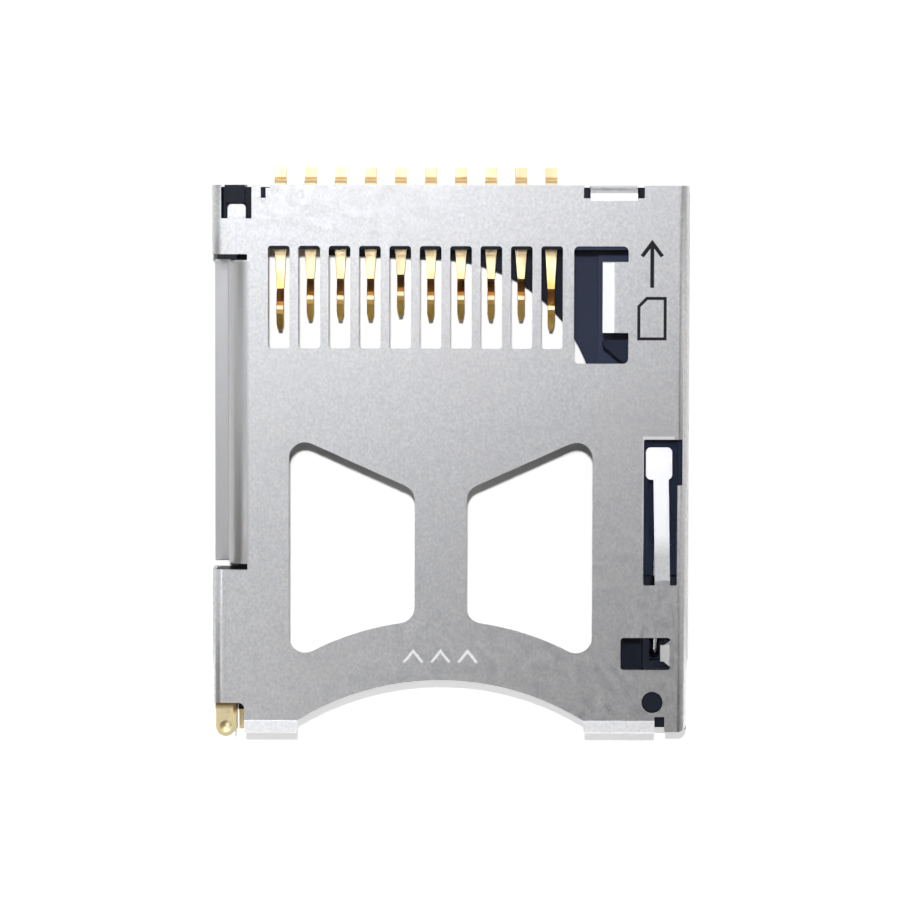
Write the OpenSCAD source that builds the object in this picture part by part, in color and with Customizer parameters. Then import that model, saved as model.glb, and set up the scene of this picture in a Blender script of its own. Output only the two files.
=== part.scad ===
// Push-push memory stick socket: folded steel cover over a black U-shaped housing, ten spring
// contacts at the rear, and a heart-cam slider with its return spring and cam pin on the right.
// Z is up from the board, X is to the right and Y points the way that the card goes in.

/* [Card] */
// Width of the card that goes in
card_w = 20; // [19:0.1:22]
// Thickness of the card
card_t = 1.6; // [1.4:0.05:2.2]
// Gap between the ledges and the card
card_gap_below = 0.05; // [0.03:0.01:0.15]
// Gap between the card and the cover
card_gap_above = 0.15; // [0.1:0.01:0.3]
// Gap between the card's edge and the wall or slider beside it
card_gap_side = 0.13; // [0.1:0.01:0.3]

/* [Cover] */
// Thickness of the steel sheet
sheet_t = 0.2; // [0.15:0.01:0.25]
// Depth of the flat cover from its rear edge to its front edge
cover_d = 26.53; // [25.5:0.05:29]
// From the card's left edge to the cover's left face
left_margin = 1.33; // [1.3:0.01:1.8]
// From the card's right edge to the cover's right face
right_margin = 2.27; // [2.2:0.01:2.8]
// Outside radius of the folds at the side walls
fold_r = 0.5; // [0.35:0.01:0.55]
// Outside radius of the fold at the card guide on the left
guide_fold_r = 0.95; // [0.7:0.01:0.95]
// Length of the cover's full-width left wall at the rear
left_rear_len = 3.42; // [3.2:0.01:4]
// Width of the slits at the ends of the card guide
guide_slit = 0.29; // [0.2:0.01:0.5]
// From the front edge to the slit at the guide's front end
guide_front = 7.48; // [7:0.01:9]
// From the front edge to the left wall's front end
corner_front = 0.84; // [0.7:0.01:1.1]
// Height of the wall's solder feet below its lower edge
foot_h = 0.25; // [0.1:0.01:0.4]
// Length of each solder foot
foot_len = 1.6; // [1:0.1:2.5]

/* [Cover windows] */
// From the rear edge to the contact slots
slot_back = 3; // [2.8:0.01:3.15]
// Length of the contact slots
slot_len = 5.07; // [4.9:0.01:5.6]
// Width of each contact slot
slot_w = 1.07; // [0.8:0.01:1.2]
// Width of the web between the two big windows
web_w = 2.58; // [1.5:0.01:4]
// From the card's middle to the outer edge of each big window
window_reach = 7.52; // [6.5:0.01:7.6]
// From the front edge to the big windows' rear corners on the outside
window_outer = 14.25; // [12.5:0.01:14.6]
// From the front edge to the big windows' rear corners at the web
window_inner = 11.46; // [9.5:0.01:12.2]
// Corner radius of the big windows
window_r = 0.8; // [0.3:0.01:1.1]
// Radius of the finger cut-out in the front edge
finger_r = 13.5; // [12:0.05:15]
// Depth of the finger cut-out
finger_depth = 1.99; // [1.5:0.01:2.3]
// Width of the band between the finger cut-out and the big windows
finger_band = 2.98; // [2.2:0.01:3.4]
// Radius of the big windows' front edges
window_arc_r = 13.9; // [12:0.05:16]
// Width of the web between the last contact slot and the window over the slider's foot
foot_web = 0.55; // [0.4:0.01:0.8]
// Length of the window over the slider's foot
foot_window_len = 5.8; // [5.4:0.01:6.2]
// From the card's right edge to the window over the slider's foot
foot_window_in = 0.74; // [0.6:0.01:1]
// Reach of the tongue in that window, with its turned-down edge
tongue_reach = 1.12; // [1:0.01:1.3]
// Length of that tongue along the card
tongue_len = 3.5; // [2.5:0.01:3.8]
// Corner radius of the slots and small windows
hole_r = 0.15; // [0.05:0.01:0.2]

/* [Lips, leaf and latches] */
// Length of the turned-up lips at the front edge
lip_len = 0.68; // [0.3:0.01:0.8]
// Angle of the lips
lip_angle = 22; // [10:1:35]
// Width of the leaf spring at its head
leaf_head_w = 1.3; // [1:0.01:1.4]
// Length of the leaf's head
leaf_head_len = 1.6; // [1.2:0.01:1.8]
// Width of the leaf's neck
leaf_neck_w = 0.75; // [0.5:0.01:0.9]
// Width of the slits on both sides of the leaf's head
leaf_slit = 0.26; // [0.15:0.01:0.35]
// Diameter of the locating hole at the front right corner
stake_hole_d = 1.05; // [0.8:0.01:1.2]
// Width of the tab turned down over the rear face
rear_tab_w = 2.33; // [1.5:0.01:3]
// Height that the rear tab reaches down
rear_tab_h = 1.5; // [1:0.01:2]
// Width of the notch at the rear left corner
notch_w = 1.5; // [1.2:0.01:1.6]
// Depth of that notch
notch_d = 1.66; // [1.4:0.01:1.9]

/* [Housing] */
// Thickness of the ledges under the card's edges
ledge_t = 0.7; // [0.6:0.01:0.9]
// Thickness of the floor plate under the contacts
plate_t = 0.38; // [0.25:0.01:0.4]
// From the cover's rear edge to the front face of the rear block
block_back = 3.17; // [3.16:0.01:3.6]
// Width of the ledge under the card's right edge
right_ledge_w = 2.2; // [1.8:0.01:2.5]
// Gap between the first contact and the ledge under the card's left edge
ledge_clear = 0.49; // [0.3:0.01:0.8]
// Gap between the housing and the sheet round it
fit = 0.04; // [0.02:0.01:0.05]
// Diameter of the locating stake at the front right corner
stake_d = 0.92; // [0.6:0.01:1]

/* [Contacts] */
// Number of contacts
contact_count = 10; // [8:1:11]
// Distance from one contact to the next
contact_pitch = 1.5; // [1.3:0.01:1.6]
// From the card's middle to the middle of the row, to the left
contact_offset = 1.27; // [0.9:0.01:1.6]
// Width of a contact at its tail and root
contact_w = 0.6; // [0.4:0.01:0.7]
// Width of a contact at its tip
contact_tip_w = 0.36; // [0.25:0.01:0.4]
// Thickness of the contact strip
contact_t = 0.14; // [0.1:0.01:0.16]
// Height of the contact point when no card is in
contact_high = 1.32; // [1.1:0.01:1.5]
// How far the solder tails stand out behind the cover
tail_out = 0.88; // [0.6:0.01:1.3]
// How much further the first and the last contact reach
contact_extra = 0.5; // [0:0.05:0.7]
// How much less far the fifth contact reaches
contact_less = 0.2; // [0:0.05:0.4]

/* [Slider] */
// Full travel of the slider
travel = 3.9; // [3.4:0.05:4.1]
// Travel from the front to the locked place
lock_travel = 3.2; // [2.9:0.05:3.3]
// Room left behind the slider's foot at full travel
over_gap = 0.56; // [0.3:0.01:0.9]
// Running gap round the slider
slide_gap = 0.05; // [0.03:0.01:0.08]
// Gap between the slider and the cover's side wall
wall_gap = 0.1; // [0.05:0.01:0.15]
// Thickness of the slider's walls beside the cam deck
cam_wall = 0.18; // [0.15:0.01:0.22]
// Reach of the foot in front of the card's corner
slider_foot_reach = 2.1; // [1.5:0.01:2.3]
// Width of the guide keel under the slider
keel_w = 0.44; // [0.3:0.01:0.6]

/* [Cam pin and springs] */
// Diameter of the cam pin's wire
pin_d = 0.4; // [0.3:0.01:0.42]
// Distance from the cam pin's pivot to its tip
pin_len = 9.5; // [9:0.05:10]
// From the cover's front edge to the cam pin's pivot
pivot_front = 3.27; // [3.1:0.01:3.5]
// How far the tip swings sideways over the full travel
pin_swing = 0.71; // [0.6:0.01:0.73]
// Gap round the wire in its bore and in the cam lanes
pin_gap = 0.05; // [0.03:0.01:0.06]
// Bend radius of the cam pin, at the middle of the wire
pin_bend_r = 0.3; // [0.25:0.01:0.4]
// Outside diameter of the return spring
spring_d = 1.2; // [1:0.01:1.22]
// Diameter of the return spring's wire
spring_wire = 0.15; // [0.12:0.01:0.2]
// Number of turns in the return spring
spring_turns = 16; // [9:1:18]

/* [Card switch] */
// Thickness of the switch's two strips
switch_t = 0.15; // [0.1:0.01:0.16]
// How far the switch's round solder tab stands out before the cover
hook_out = 1.16; // [0.9:0.01:1.3]
// How far the switch spring's bump stands into the card's way
bump_in = 0.15; // [0.05:0.01:0.25]

/* [Hidden] */
$fn = 48;
// Segments in each bend of a strip
bend_steps = 5;
// How far a cutting shape runs past what it cuts
over = 1;

// Heights
card_z = ledge_t + card_gap_below;
roof_z = card_z + card_t + card_gap_above;
top_z = roof_z + sheet_t;
block_top = roof_z - fit;

// Places across
cover_w = left_margin + card_w + right_margin;
left_x = -cover_w / 2;
right_x = cover_w / 2;
card_x = left_x + left_margin + card_w / 2;
card_left = card_x - card_w / 2;
card_right = card_x + card_w / 2;
wall_in_l = left_x + sheet_t;
wall_in_r = right_x - sheet_t;
house_l = wall_in_l + fit;
house_r = wall_in_r - fit;
guide_clear = 0.2;
guide_edge_gap = 0.02;
guide_in = card_left - card_gap_side - guide_clear;
guide_out = guide_in - sheet_t;
guide_flat = guide_out + guide_fold_r;
left_ledge_out = guide_in + guide_clear;
left_ledge_in = contact_x(0) - contact_w / 2 - ledge_clear;
right_ledge_in = card_right - right_ledge_w;
ledge_wall_gap = 0.1;
block_l_in = card_left - ledge_wall_gap;

// Places along
rear_y = (cover_d + hook_out - tail_out) / 2;
front_y = rear_y - cover_d;
block_front = rear_y - block_back;
block_inset = 0.1;
block_rear = rear_y - block_inset;
guide_rear_y = rear_y - left_rear_len;
guide_y1 = guide_rear_y - guide_slit;
guide_front_y = front_y + guide_front;
guide_y0 = guide_front_y + guide_slit;
corner_y = front_y + corner_front;
corner_x = card_left + 0.25;
right_front_len = 0.58;
right_end_y = front_y - right_front_len;
slot_y1 = rear_y - slot_back;
slot_y0 = slot_y1 - slot_len;

// Fold radii on the inside
fold_in = fold_r - sheet_t;
guide_fold_in = guide_fold_r - sheet_t;
edge_cut = fold_in + 0.05;
bend_r = 0.3;
tab_bend_r = 0.5;
sheet_mid = roof_z + sheet_t / 2;

// Slider and rail
slider_x0 = card_right + card_gap_side;
slider_x1 = wall_in_r - wall_gap;
slider_mid = (slider_x0 + slider_x1) / 2;
slider_z0 = ledge_t + slide_gap;
slider_top_gap = 0.08;
foot_top_gap = 0.32;
deck_h = 0.84;
slider_z1 = roof_z - slider_top_gap;
foot_top = roof_z - foot_top_gap;
deck_z = slider_z0 + deck_h;
foot_rear = block_front - over_gap - travel;
pivot_y = front_y + pivot_front;
tip_y = pivot_y + pin_len;
lane_w = pin_d + 2 * pin_gap;
lane_left_x = slider_x0 + cam_wall + lane_w / 2;
tip_x = slider_x1 - cam_wall - lane_w / 2 - pin_swing;
pin_lean = 0.16;
pivot_x = tip_x - pin_lean;
slider_front_len = 1.7;
slider_front = tip_y - travel - slider_front_len;
seat_len = 1.68;
spring_seat = tip_y + seat_len;
deck_rear = tip_y + 1.3;
spring_wall = 0.7;
spring_rear = rear_y - spring_wall;
spring_h = 0.85;
spring_z = slider_z0 + spring_h;
spring_slot = spring_d + 0.1;
keel_h = 0.3;
keel_inset = 0.3;
pin_z = deck_z + pin_gap + pin_d / 2;
tip_h = 0.45;
pin_tip_z = slider_z0 + tip_h;

// Cam pin housing and stake
front_block_y1 = slider_front - 0.03;
front_block_y0 = front_y + 0.18;
rail_gap = 0.06;
block_r_in = slider_x0 - rail_gap;
stake_x = right_x - 1.75;
stake_y = front_y + 0.9;

// Card switch
switch_y = front_y + 0.88;
switch_pad_r = 0.5;
switch_in = card_left - 0.2;
terminal_out = 0.78;
dish_r = 0.3;
dish_d = 0.05;
switch_arm_x = switch_in - 0.05;
switch_z0 = ledge_t + 0.25;
switch_z1 = roof_z - 0.35;
bump_front = 4.9;
bump_y = front_y + bump_front;
bump_half = 0.9;
post_half = 0.3;
post_y0 = bump_y - post_half;
post_y1 = bump_y + post_half;
switch_post_x = house_l + 0.27;

contact_names = [for (i = [1:contact_count]) str("contact_", i < 10 ? "0" : "", i)];

// A prism between two heights, from an outline seen from above
module slab(z0, z1) {
    translate([0, 0, z0]) linear_extrude(z1 - z0) children();
}

// A prism along X, from an outline drawn with Y to the right and Z up
module along_x(x0, x1) {
    translate([x0, 0, 0]) rotate([90, 0, 90]) linear_extrude(x1 - x0) children();
}

// A prism along Y, from an outline drawn with X to the right and Z up
module along_y(y0, y1) {
    translate([0, y1, 0]) rotate([90, 0, 0]) linear_extrude(y1 - y0) children();
}

// A box between two corners
module box(x0, x1, y0, y1, z0, z1) {
    translate([x0, y0, z0]) cube([x1 - x0, y1 - y0, z1 - z0]);
}

// A rectangle between two corners
module rect(x0, x1, y0, y1) {
    translate([x0, y0]) square([x1 - x0, y1 - y0]);
}

// The points of a bent strip's middle line. Each step is [straight length, turn in degrees, bend radius]
function bend(p, a, r, turn) =
    let (s = sign(turn), c = p + r * s * [-sin(a), cos(a)])
    [for (i = [1:bend_steps]) let (b = a + turn * i / bend_steps) c + r * s * [sin(b), -cos(b)]];
function trace(p, a, steps, i = 0) =
    i == len(steps) ? [p] :
    let (q = p + steps[i][0] * [cos(a), sin(a)],
        turned = steps[i][1] == 0 ? [q] : bend(q, a, steps[i][2], steps[i][1]),
        arc = steps[i][1] == 0 ? [] : concat([q], [for (k = [0:len(turned) - 2]) turned[k]]))
    concat(steps[i][0] == 0 ? [] : [p], arc,
        trace(turned[len(turned) - 1], a + steps[i][1], steps, i + 1));

// The outline of a strip of thickness t along a line of points
function heading(pts, i) =
    let (a = pts[max(i - 1, 0)], b = pts[i], c = pts[min(i + 1, len(pts) - 1)],
        u = i == 0 ? (c - b) / norm(c - b) : (b - a) / norm(b - a),
        v = i == len(pts) - 1 ? u : (c - b) / norm(c - b))
    (u + v) / (1 + u * v);
module strip(pts, t) {
    left = [for (i = [0:len(pts) - 1]) let (h = heading(pts, i)) pts[i] + t / 2 * [-h[1], h[0]]];
    right = [for (i = [len(pts) - 1:-1:0]) let (h = heading(pts, i)) pts[i] - t / 2 * [-h[1], h[0]]];
    polygon(concat(left, right));
}

// Section of a side wall on the right: the fold and the wall below it
module wall_section(outer, z_low) {
    difference() {
        translate([outer - fold_r, top_z - fold_r]) circle(fold_r);
        translate([outer - fold_r, top_z - fold_r]) circle(fold_in);
        rect(outer - 2 * fold_r, outer - fold_r, top_z - 2 * fold_r, top_z);
        rect(outer - 2 * fold_r, outer, top_z - 2 * fold_r, top_z - fold_r);
    }
    rect(outer - sheet_t, outer, z_low, top_z - fold_r);
}

// A wall along Y with its solder feet, on the right, or on the left with side = -1
module side_wall(side, y0, y1, feet) {
    mirror([side < 0 ? 1 : 0, 0, 0]) {
        along_y(y0, y1) wall_section(right_x, foot_h);
        for (y = feet)
            box(wall_in_r, right_x, y - foot_len / 2, y + foot_len / 2, 0, foot_h);
    }
}

// The card guide on the left: a wall set inwards, with a solder flange at the board
module card_guide() {
    flange_bend = 0.15;
    flange_len = guide_out - flange_bend - left_x - guide_edge_gap;
    wall_low = sheet_t + flange_bend;
    along_y(guide_y0, guide_y1) difference() {
        translate([guide_flat, top_z - guide_fold_r]) circle(guide_fold_r);
        translate([guide_flat, top_z - guide_fold_r]) circle(guide_fold_in);
        rect(guide_flat, guide_flat + 2 * guide_fold_r, 0, top_z + over);
        rect(guide_out - over, guide_flat + over, 0, top_z - guide_fold_r);
    }
    box(guide_out, guide_in, guide_y0, guide_y1, wall_low, top_z - guide_fold_r);
    along_y(guide_y0, guide_y1) strip(trace([guide_out + sheet_t / 2, wall_low], -90,
        [[0, -90, flange_bend + sheet_t / 2], [flange_len, 0, 0]]), sheet_t);
}

// A rectangle between two corners, with rounded corners
module round_rect(x0, x1, y0, y1, r) {
    rect(x0 + r, x1 - r, y0, y1);
    rect(x0, x1, y0 + r, y1 - r);
    for (x = [x0 + r, x1 - r], y = [y0 + r, y1 - r])
        translate([x, y]) circle(r);
}

// The right end of the lips with its relief, the fillet at the front left corner, and the lips' inset
// from the finger cut-out
lip_end = right_x - 1.63;
relief_w = 0.5;
relief_d = 0.17;
corner_r = 0.3;
lip_inset = 0.05;

// The flat blank of the cover, without its holes
module cover_blank() {
    flat_l = left_x + fold_r;
    flat_r = right_x - fold_r;
    relief_end = lip_end + relief_w;
    relief_y = front_y + relief_d;
    polygon([[flat_l, rear_y], [flat_l, guide_rear_y], [guide_flat, guide_rear_y],
        [guide_flat, guide_front_y], [flat_l, guide_front_y], [flat_l, corner_y],
        [corner_x, corner_y], [corner_x, front_y], [lip_end, front_y],
        [lip_end, relief_y], [relief_end, relief_y], [relief_end, right_end_y],
        [flat_r, right_end_y], [flat_r, rear_y]]);
    difference() {
        rect(corner_x - corner_r, corner_x, corner_y - corner_r, corner_y);
        translate([corner_x - corner_r, corner_y - corner_r]) circle(corner_r);
    }
}

// One of the two big windows, on the right of the card's middle
module big_window() {
    offset(r = window_r) offset(delta = -window_r) difference() {
        translate([card_x, front_y]) polygon([[web_w / 2, 0], [window_reach, 0],
            [window_reach, window_outer], [web_w / 2, window_inner]]);
        translate([card_x, front_y + finger_depth + finger_band - window_arc_r])
            circle(window_arc_r, $fn = 180);
    }
}

// The leaf's outline: head, tapering neck and a root that runs into the sheet
leaf_x = pivot_x + 0.35;
leaf_neck_x = tip_x + 0.1;
leaf_head_y1 = tip_y + leaf_head_len / 2;
leaf_head_y0 = tip_y - leaf_head_len / 2;
leaf_win_x0 = tip_x - leaf_head_w / 2 - leaf_slit / 2;
leaf_win_x1 = right_x - 0.55;
leaf_win_x2 = right_x - 0.3;
leaf_front = 6.73;
leaf_win_y0 = front_y + leaf_front;
leaf_win_y1 = leaf_head_y1 + leaf_slit + 0.15;
module leaf_outline(root_y) {
    head_r = 0.25;
    round_rect(tip_x - leaf_head_w / 2, tip_x + leaf_head_w / 2, leaf_head_y0, leaf_head_y1, head_r);
    polygon([[leaf_neck_x - leaf_neck_w / 2, leaf_head_y0 + head_r], [leaf_x - leaf_neck_w / 2, root_y],
        [leaf_x + leaf_neck_w / 2, root_y], [leaf_neck_x + leaf_neck_w / 2, leaf_head_y0 + head_r]]);
}

// The leaf spring that holds the cam pin down, bent down from the sheet
module leaf() {
    leaf_gap = 0.02;
    root_len = 0.25;
    drop = roof_z - (pin_z + pin_d / 2 + leaf_gap);
    intersection() {
        slab(0, top_z + over) leaf_outline(leaf_win_y0 - over);
        along_x(leaf_win_x0 - over, right_x) strip([[leaf_win_y0 - 0.05, sheet_mid],
            [leaf_win_y0 + root_len, sheet_mid], [leaf_head_y1, sheet_mid - drop]], sheet_t);
    }
}

// Tongue over the slider's foot, with its inner edge turned down
foot_win_x1 = card_right - foot_window_in;
foot_win_x0 = contact_x(contact_count - 1) + slot_w / 2 + foot_web;
foot_win_y0 = slot_y1 - foot_window_len;
tongue_y1 = slot_y1 - 0.77;
tongue_y0 = tongue_y1 - tongue_len;
module foot_tongue() {
    flap = 0.5;
    flap_angle = 14;
    flap_len = 0.4;
    flap_bend_r = 1;
    root = 0.05;
    along_y(tongue_y0, tongue_y1) strip(trace([foot_win_x1 + root, sheet_mid], 180,
        [[root + tongue_reach - flap, flap_angle, flap_bend_r], [flap_len, 0, 0]]), sheet_t);
}

// The lips turned up at the front edge, between two places across
module lip(x0, x1) {
    bend_len = 0.15;
    root = 0.05;
    along_x(x0, x1) strip(trace([front_y + root, sheet_mid], 180,
        [[root, -lip_angle, bend_r], [lip_len - bend_len, 0, 0]]), sheet_t);
}

// The tab turned down over the rear face
rear_tab_x = right_x - 2.57 - rear_tab_w;
rear_tab_x1 = rear_tab_x + rear_tab_w;
rear_tab_y = rear_y - tab_bend_r - sheet_t / 2;
rear_tab_cut = 0.03;
module rear_tab() {
    root = 0.25;
    along_x(rear_tab_x, rear_tab_x1) strip(trace([rear_tab_y - root, sheet_mid], 0,
        [[root, -90, tab_bend_r], [rear_tab_h - tab_bend_r - sheet_t / 2, 0, 0]]), sheet_t);
}

// Tab that holds down the cam pin's pivot end
pin_win_x0 = right_x - 3.33;
pin_win_x1 = right_x - 0.85;
pin_win_y0 = front_y + 2.52;
pin_win_y1 = front_y + 4.12;
pin_tab_y0 = pivot_y - 0.35;
pin_tab_y1 = pivot_y + 0.47;
pin_tab_drop = 0.28;
pin_tab_flare = 0.25;
module pin_tab() {
    root = 0.1;
    tab_end = pivot_x + pin_d / 2 + 0.12;
    intersection() {
        slab(0, top_z) polygon([[tab_end - 0.1, pin_tab_y0], [tab_end + 0.1, pin_tab_y0],
            [pin_win_x1, pin_tab_y0 - pin_tab_flare], [pin_win_x1 + root, pin_tab_y0 - pin_tab_flare],
            [pin_win_x1 + root, pin_tab_y1 + pin_tab_flare], [pin_win_x1, pin_tab_y1 + pin_tab_flare],
            [tab_end + 0.1, pin_tab_y1], [tab_end - 0.1, pin_tab_y1]]);
        along_y(pin_win_y0, pin_win_y1) strip([[pin_win_x1 + root, sheet_mid],
            [pin_win_x1 - 0.06, sheet_mid], [tab_end, sheet_mid - pin_tab_drop]], sheet_t);
    }
}

// Places of the solder feet along the side walls
foot_front = 1.4;
foot_back = 1.6;
left_foot_front = 4.6;
wall_mid_y = (front_y + rear_y) / 2;

// Latch windows in the side walls, as [side, middle along Y], and the housing lugs in them
latch_front = 1.9;
latch_guide = 3;
latches = [[1, rear_y - foot_back], [1, front_y + latch_front], [-1, rear_y - foot_back],
    [-1, guide_front_y - latch_guide]];
latch_len = 1.3;
latch_z0 = 0.95;
latch_h = 0.6;

// Notch and hooked slit at the rear left, and the reliefs beside the rear tab
notch_x = left_x + 0.47;
slit_x = left_x + 2.42;
tab_relief_w = 0.34;

// Scored lines beside the folds at the front, as [side, front end, rear end]
score_w = 0.1;
score_d = 0.04;
score_in = 0.74;
score_right = 6.03;
score_left = 6.8;
scores = [[1, right_end_y - over, front_y + score_right], [-1, corner_y - over, front_y + score_left]];

// All holes that are stamped through the cover
module cover_holes() {
    for (i = [0:contact_count - 1])
        round_rect(contact_x(i) - slot_w / 2, contact_x(i) + slot_w / 2, slot_y0, slot_y1, hole_r);
    round_rect(foot_win_x0, foot_win_x1, foot_win_y0, slot_y1, 1.7 * hole_r);
    big_window();
    translate([2 * card_x, 0]) mirror([1, 0]) big_window();
    translate([card_x, front_y + finger_depth - finger_r]) circle(finger_r);
    round_rect(leaf_win_x0, leaf_win_x1, leaf_win_y0, leaf_win_y1, hole_r / 2);
    round_rect(leaf_win_x0, leaf_win_x2, leaf_head_y0 - leaf_slit, leaf_win_y1, hole_r / 2);
    round_rect(pin_win_x0, pin_win_x1, pin_win_y0, pin_win_y1, hole_r);
    translate([stake_x, stake_y]) circle(stake_hole_d / 2);
    rect(notch_x, notch_x + notch_w, rear_y - notch_d, rear_y + over);
    rect(slit_x, slit_x + 0.25, rear_y - 0.64, rear_y + over);
    rect(slit_x, slit_x + 0.45, rear_y - 0.15, rear_y + over);
    for (x = [rear_tab_x - tab_relief_w, rear_tab_x1])
        rect(x, x + tab_relief_w, rear_tab_y - rear_tab_cut, rear_y + over);
    rect(rear_tab_x - 0.1, rear_tab_x1 + 0.1, rear_tab_y - rear_tab_cut, rear_y + over);
}

// The tongue in the rear left notch, which locks the cover behind the housing's boss
notch_drop = 0.12;
boss_front = rear_y - 0.88;
module notch_tongue() {
    x0 = left_x + 0.79;
    x1 = x0 + 0.89;
    r = 0.2;
    end_y = rear_y - 0.95;
    root_y = rear_y - notch_d - 0.1;
    intersection() {
        slab(0, top_z + over) union() {
            rect(x0, x1, root_y, end_y - r);
            rect(x0 + r, x1 - r, end_y - 2 * r, end_y);
            for (x = [x0 + r, x1 - r])
                translate([x, end_y - r]) circle(r);
        }
        along_x(left_x, card_x) strip([[root_y, sheet_mid], [root_y + 0.2, sheet_mid],
            [rear_y - 0.8, sheet_mid - notch_drop]], sheet_t);
    }
}

// The cover: one sheet, stamped and folded
module cover() color("lightgray") {
    finger_y = front_y + finger_depth - finger_r;
    finger_half = sqrt(finger_r * finger_r - (front_y - finger_y) * (front_y - finger_y));
    lip_in = card_x - finger_half - lip_inset;
    difference() {
        union() {
            slab(roof_z, top_z) cover_blank();
            side_wall(1, right_end_y, rear_y, [front_y + foot_front, wall_mid_y, rear_y - foot_back]);
            side_wall(-1, guide_rear_y, rear_y, [rear_y - foot_back]);
            side_wall(-1, corner_y, guide_front_y, [front_y + left_foot_front]);
        }
        slab(roof_z - fold_r, top_z + over) cover_holes();
        translate([right_x - fold_r, right_end_y + fold_r, 0]) difference() {
            box(0, over, -over, 0, roof_z - 2 * fold_r, top_z + over);
            cylinder(r = fold_r, h = top_z + 2 * over);
        }
        for (latch = latches)
            mirror([latch[0] < 0 ? 1 : 0, 0, 0])
                box(wall_in_r - over, right_x + over, latch[1] - latch_len / 2,
                    latch[1] + latch_len / 2, latch_z0, latch_z0 + latch_h);
        for (score = scores)
            mirror([score[0] < 0 ? 1 : 0, 0, 0])
                box(right_x - score_in, right_x - score_in + score_w, score[1], score[2],
                    top_z - score_d, top_z + over);
    }
    card_guide();
    leaf();
    foot_tongue();
    lip(corner_x, lip_in);
    lip(2 * card_x - lip_in, lip_end);
    rear_tab();
    pin_tab();
    notch_tongue();
}

// A block beside a side wall, with its outer top edge cut back to clear the fold
module wall_block(side, x_in, y0, y1) {
    mirror([side < 0 ? 1 : 0, 0, 0])
        along_y(y0, y1) polygon([[x_in, 0], [house_r, 0], [house_r, block_top - edge_cut],
            [house_r - edge_cut, block_top], [x_in, block_top]]);
}

// The floor plate under the contacts, which runs into the right ledge in a large curve
module floor_plate() {
    plate_front = block_front - 0.52;
    plate_l = (contact_x(1) + contact_x(2)) / 2;
    slant = 0.2;
    arc_x = card_x - 0.3;
    arc_r = right_ledge_in - arc_x;
    arc_end = 1.2;
    slab(0, plate_t) {
        polygon([[plate_l, block_front], [plate_l, plate_front + slant],
            [arc_x, plate_front], [arc_x, block_front]]);
        difference() {
            rect(arc_x, right_ledge_in + slant, plate_front - arc_r + arc_end, block_front);
            translate([arc_x, plate_front - arc_r]) circle(arc_r);
        }
    }
}

// Wedge-shaped lug that snaps into a latch window
module lug() {
    along_y(-latch_len / 2 + fit, latch_len / 2 - fit)
        polygon([[house_r - 0.1, latch_z0 + fit], [house_r, latch_z0 + fit],
            [right_x - 0.06, latch_z0 + latch_h - 0.2], [right_x - 0.06, latch_z0 + latch_h - fit],
            [house_r - 0.1, latch_z0 + latch_h - fit]]);
}

// Width at each end of the rear block that lies beside the folds
block_side = 2;

// The nose under the relief at the lips' right end, its reach in front of the cover and its room above
nose_side = 0.08;
nose_out = 0.4;
nose_room = 0.3;

// The housing before its channels are cut
module housing_body() {
    box(left_x + block_side, right_x - block_side, block_front, block_rear, 0, block_top);
    wall_block(1, block_r_in, block_front, block_rear);
    wall_block(-1, right_x - block_side - 0.1, block_front, block_rear);
    wall_block(-1, -block_l_in, guide_y1 + fit, block_front + 0.1);
    box(left_ledge_out, left_ledge_in, front_y + 0.28, block_front + 0.1, 0, ledge_t);
    box(house_l, left_ledge_out + 0.1, switch_y, guide_front_y - fit, 0, ledge_t);
    wall_block(-1, -block_l_in, switch_y, guide_front_y - fit);
    floor_plate();
    box(right_ledge_in, house_r, front_block_y0, block_front + 0.1, 0, ledge_t);
    wall_block(1, block_r_in, front_block_y0, front_block_y1);
    box(lip_end - nose_side, lip_end + relief_w + nose_side, front_y - nose_out, stake_y, 0,
        roof_z - nose_room);
    translate([stake_x, stake_y, 0]) cylinder(d = stake_d, h = top_z);
    box(left_x + 0.64, left_x + 1.63, boss_front, rear_y, 0, top_z);
    for (latch = latches)
        mirror([latch[0] < 0 ? 1 : 0, 0, 0]) translate([0, latch[1], 0]) lug();
}

// The housing: black moulding, a rear block with a ledge down each side of the card
module housing() color("#1b212c") difference() {
    housing_body();
    for (i = [0:contact_count - 1]) {
        x = contact_x(i);
        box(x - contact_w / 2, x + contact_w / 2, block_front - over, block_rear + over,
            contact_run_z - contact_t / 2, contact_run_z + contact_t / 2);
        box(x - contact_w / 2 - 0.1, x + contact_w / 2 + 0.1, block_front - over,
            block_front + 0.45, plate_t, contact_high + 0.1);
    }
    box(slider_mid - spring_slot / 2, slider_mid + spring_slot / 2, block_front - over, spring_rear,
        slider_z0 + 0.15, top_z);
    box(slider_mid - keel_w / 2 - slide_gap, slider_mid + keel_w / 2 + slide_gap, front_block_y1,
        block_front - 0.3, ledge_t - keel_h - slide_gap, ledge_t + over);
    pin_channel();
    rear_tab_recess();
    box(left_x + 0.7, left_x + 1.8, rear_y - notch_d - 0.1, boss_front,
        roof_z - notch_drop - 2 * fit, roof_z);
    box(pivot_x, pin_win_x1 + 0.1, pin_tab_y0 - pin_tab_flare - fit, pin_tab_y1 + pin_tab_flare + fit,
        roof_z - pin_tab_drop - 2 * fit, roof_z);
    switch_slots();
}

// Room for the cam pin and its swing in the front block, with the pivot bore
module pin_channel() {
    side = pin_d / 2 + 0.1;
    reach = front_block_y1 - pivot_y;
    slab(deck_z, top_z) polygon([[pivot_x - side, pivot_y - side], [pivot_x + side, pivot_y - side],
        [pivot_x + side + 0.1, pivot_y], [tip_x + side + pin_swing * reach / pin_len,
        front_block_y1 + 0.1], [pivot_x - side, front_block_y1 + 0.1]]);
    translate([pivot_x, pivot_y, ledge_t]) cylinder(d = pin_d + 2 * pin_gap, h = top_z);
}

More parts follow.
